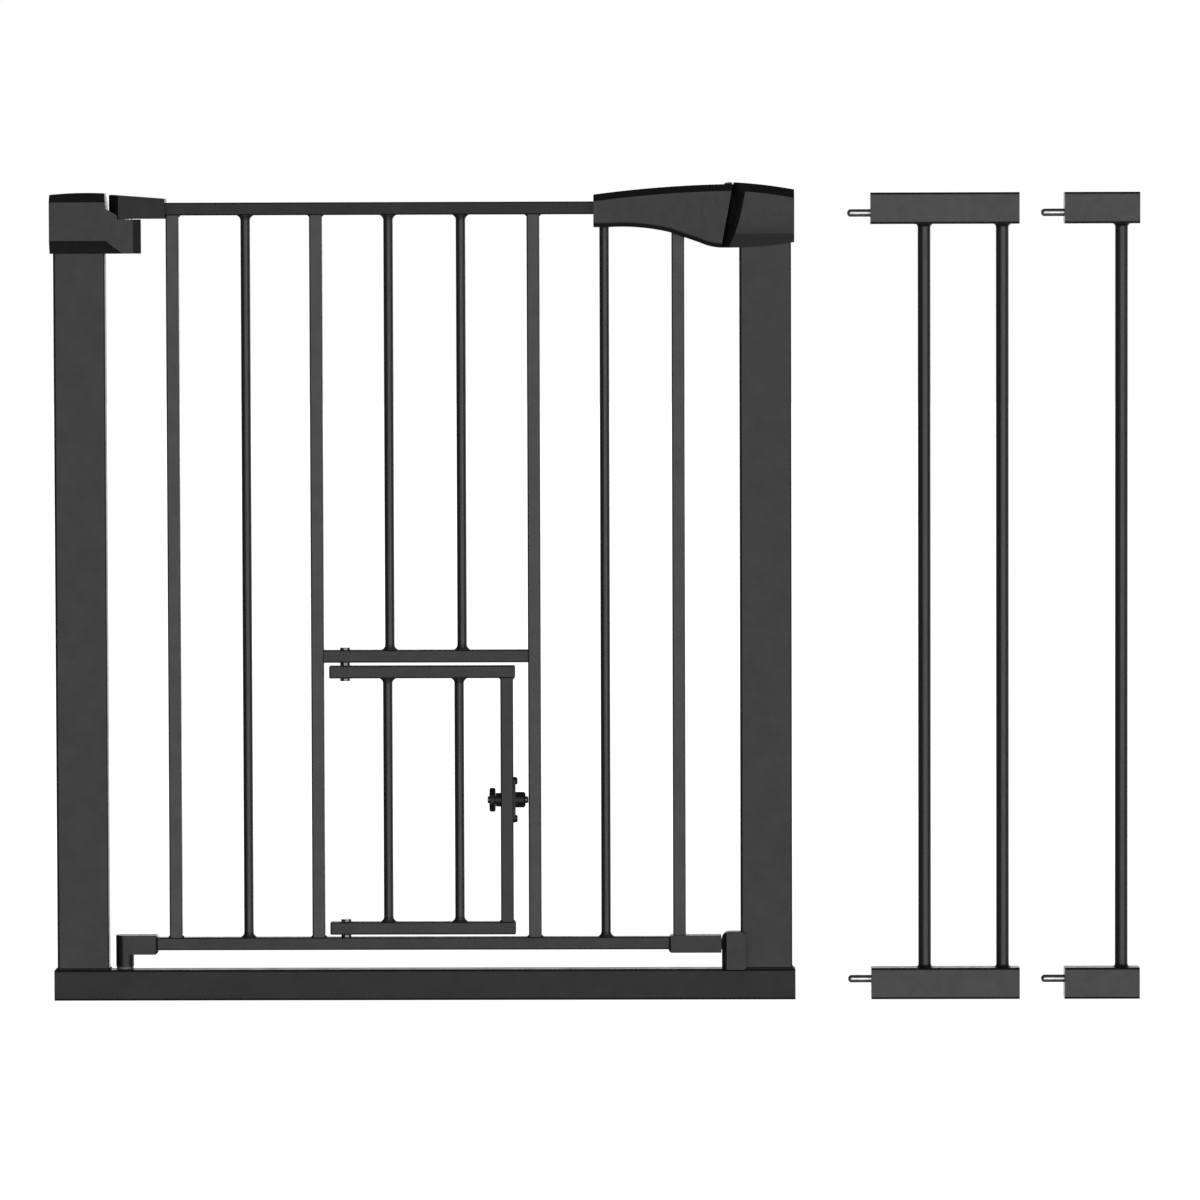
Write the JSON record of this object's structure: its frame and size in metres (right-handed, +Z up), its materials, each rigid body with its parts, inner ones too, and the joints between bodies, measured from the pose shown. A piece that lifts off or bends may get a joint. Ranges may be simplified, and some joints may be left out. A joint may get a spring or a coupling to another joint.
{
  "type": "pet gate",
  "caption": "Pressure-fit walk-through pet gate with tube bars, a small latched pet door low in its door, a lift handle, and two clip-on width extensions.",
  "frame": {"origin": "on the floor, under the middle of the gate's bottom rail", "axes": "+X along the gate from the hinge side to the handle side, +Y from front to back, +Z up"},
  "size_m": [1.0217, 0.0382, 0.7682],
  "materials": {
    "powder_coat": "satin",
    "housing_plastic": "matte",
    "bush_plastic": "smooth",
    "zinc_steel": "zinc plated",
    "black_steel": "satin"
  },
  "bodies": {
    "frame": {"frame_bottom_rail": "powder_coat", "frame_left_post": "powder_coat", "frame_right_post": "powder_coat", "hinge_housing": "housing_plastic", "catch_housing": "housing_plastic", "catch_keeper": "black_steel", "bottom_stop": "housing_plastic", "spindle_bushes": "bush_plastic", "rail_plugs": "housing_plastic", "housing_screws": "zinc_steel", "top_hinge_pin": "zinc_steel", "bottom_hinge_pin": "zinc_steel"},
    "hinge_bushes": {"top_hinge_bush": "bush_plastic", "bottom_hinge_bush": "bush_plastic"},
    "door": {"door_top_rail": "powder_coat", "door_bottom_rail": "powder_coat", "door_left_stile": "powder_coat", "door_right_stile": "powder_coat", "door_inner_stile_left": "powder_coat", "door_inner_stile_right": "powder_coat", "door_crossbar": "powder_coat", "door_long_bar_left": "powder_coat", "door_long_bar_right": "powder_coat", "door_upper_bar_left": "powder_coat", "door_upper_bar_right": "powder_coat", "door_top_hinge_cap": "housing_plastic", "door_bottom_elbow": "housing_plastic", "door_end_sleeve": "housing_plastic", "handle_front_shell": "housing_plastic", "handle_back_shell": "housing_plastic", "handle_screws": "zinc_steel", "pet_top_pin": "zinc_steel", "pet_bottom_pin": "zinc_steel", "lock_spring": "zinc_steel"},
    "lock": {"thumb_slider": "housing_plastic", "lock_bolt": "black_steel"},
    "pet_door": {"pet_top_rail": "powder_coat", "pet_bottom_rail": "powder_coat", "pet_right_stile": "powder_coat", "pet_rail_plugs": "housing_plastic", "pet_bar_left": "powder_coat", "pet_bar_right": "powder_coat", "pet_latch_plate": "black_steel", "pet_latch_housing": "black_steel", "pet_latch_neck": "black_steel", "pet_latch_screws": "black_steel", "pet_latch_spring": "zinc_steel"},
    "pet_latch": {"pet_latch_bolt": "zinc_steel", "pet_latch_knob": "black_steel"},
    "wide_extension": {"wide_bottom_block": "housing_plastic", "wide_top_block": "housing_plastic", "wide_bar_1": "powder_coat", "wide_bar_2": "powder_coat", "wide_end_caps": "housing_plastic", "wide_pins": "zinc_steel"},
    "narrow_extension": {"narrow_bottom_block": "housing_plastic", "narrow_top_block": "housing_plastic", "narrow_bar_1": "powder_coat", "narrow_end_caps": "housing_plastic", "narrow_pins": "zinc_steel"}
  },
  "joints": [
    {"name": "door_lift", "type": "slide", "parent": "frame", "child": "hinge_bushes", "axis": [0, 0, 1], "range_m": [0, 0.01]},
    {"name": "door_swing", "type": "hinge", "parent": "hinge_bushes", "child": "door", "pos_m": [-0.283, 0, 0], "axis": [0, 0, 1], "range_deg": [0, 90]},
    {"name": "lock_slide", "type": "slide", "parent": "door", "child": "lock", "axis": [1, 0, 0], "range_m": [-0.008, 0], "stiffness_N_per_m": 150, "springref_m": 0.006, "deforming": ["lock_spring"]},
    {"name": "pet_door_swing", "type": "hinge", "parent": "door", "child": "pet_door", "pos_m": [-0.07405, 0, 0], "axis": [0, 0, 1], "range_deg": [-120, 120]},
    {"name": "pet_latch_slide", "type": "slide", "parent": "pet_door", "child": "pet_latch", "axis": [1, 0, 0], "range_m": [-0.006, 0.004], "stiffness_N_per_m": 150, "springref_m": 0.006, "deforming": ["pet_latch_spring"]},
    {"name": "wide_extension_dock", "type": "slide", "parent": "frame", "child": "wide_extension", "axis": [-1, 0, 0], "range_m": [0, 0.0712]},
    {"name": "narrow_extension_dock", "type": "slide", "parent": "wide_extension", "child": "narrow_extension", "axis": [-1, 0, 0], "range_m": [0, 0.042]}
  ]
}
